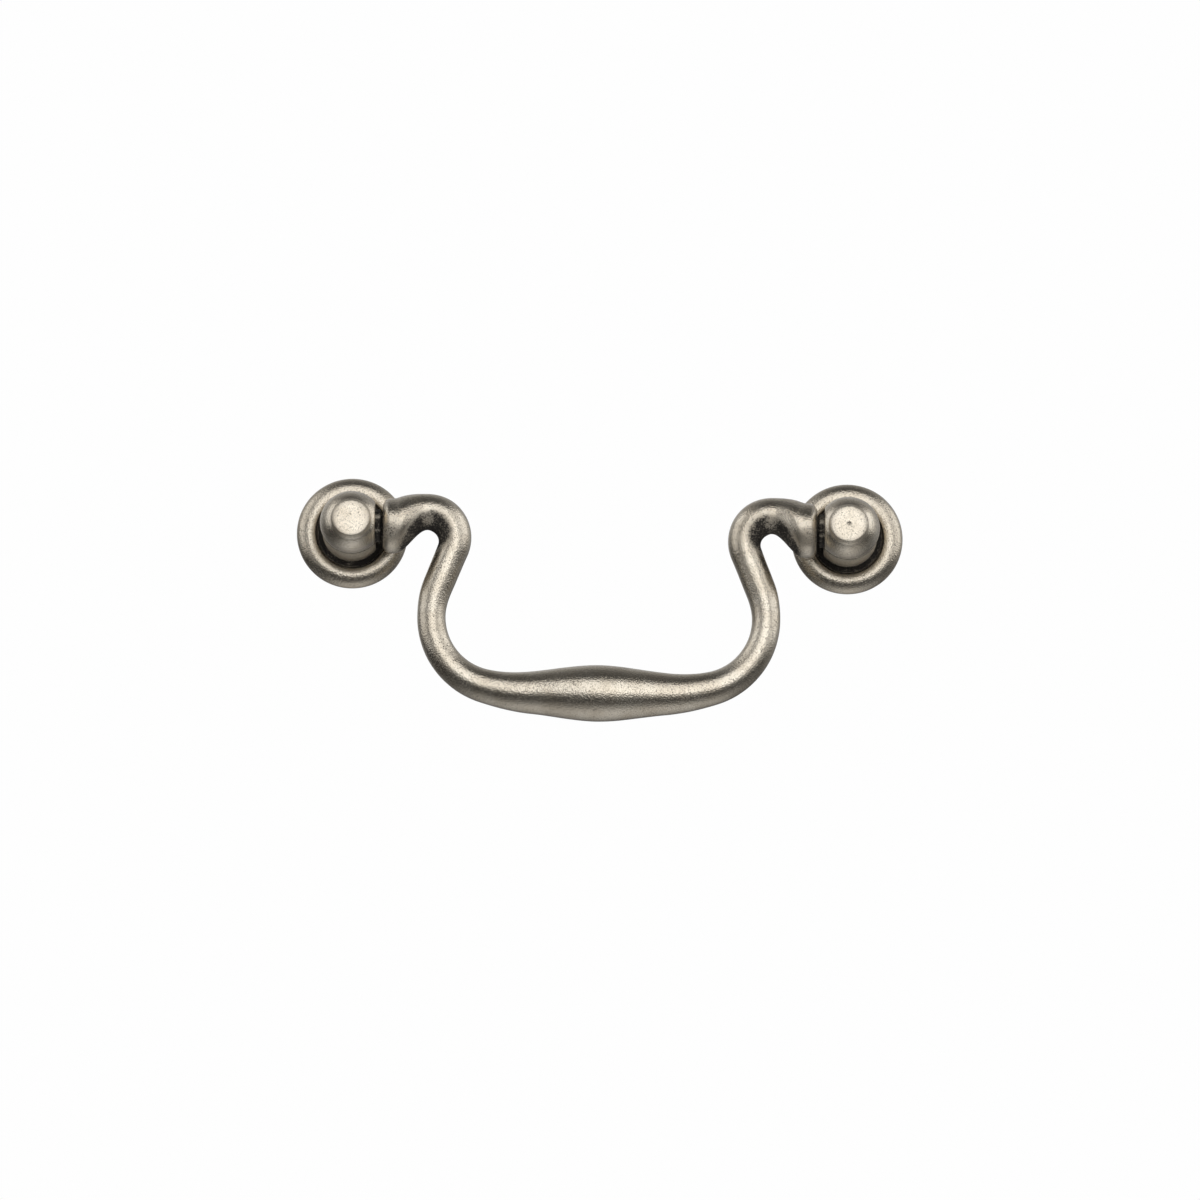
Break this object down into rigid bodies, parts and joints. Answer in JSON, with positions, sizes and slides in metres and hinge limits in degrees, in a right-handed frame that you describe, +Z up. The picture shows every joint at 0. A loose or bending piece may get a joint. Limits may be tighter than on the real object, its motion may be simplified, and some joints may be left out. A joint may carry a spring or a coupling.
{
  "type": "bail pull",
  "caption": "Swan-neck bail pull for a drawer: a drop handle with a swollen grip, hung on trunnions between round posts that stand on ringed roses.",
  "frame": {"origin": "in the drawer face, midway between the two fixing screws", "axes": "+X from the left post to the right one, +Y into the drawer front, +Z up"},
  "size_m": [0.109, 0.018, 0.045],
  "materials": {
    "bail_pewter": "antique pewter, rubbed bright on the high places and dark in the hollows",
    "post_pewter": "antique pewter, finely pitted button face",
    "rose_pewter": "antique pewter, dark in the ring round the post"
  },
  "bodies": {
    "base": {"post_left": "post_pewter", "post_right": "post_pewter", "rose_left": "rose_pewter", "rose_right": "rose_pewter"},
    "bail": {"bail": "bail_pewter"}
  },
  "joints": [
    {"name": "bail_swing", "type": "hinge", "parent": "base", "child": "bail", "pos_m": [0, -0.0094, 0], "axis": [-1, 0, 0], "range_deg": [-8, 188]}
  ]
}
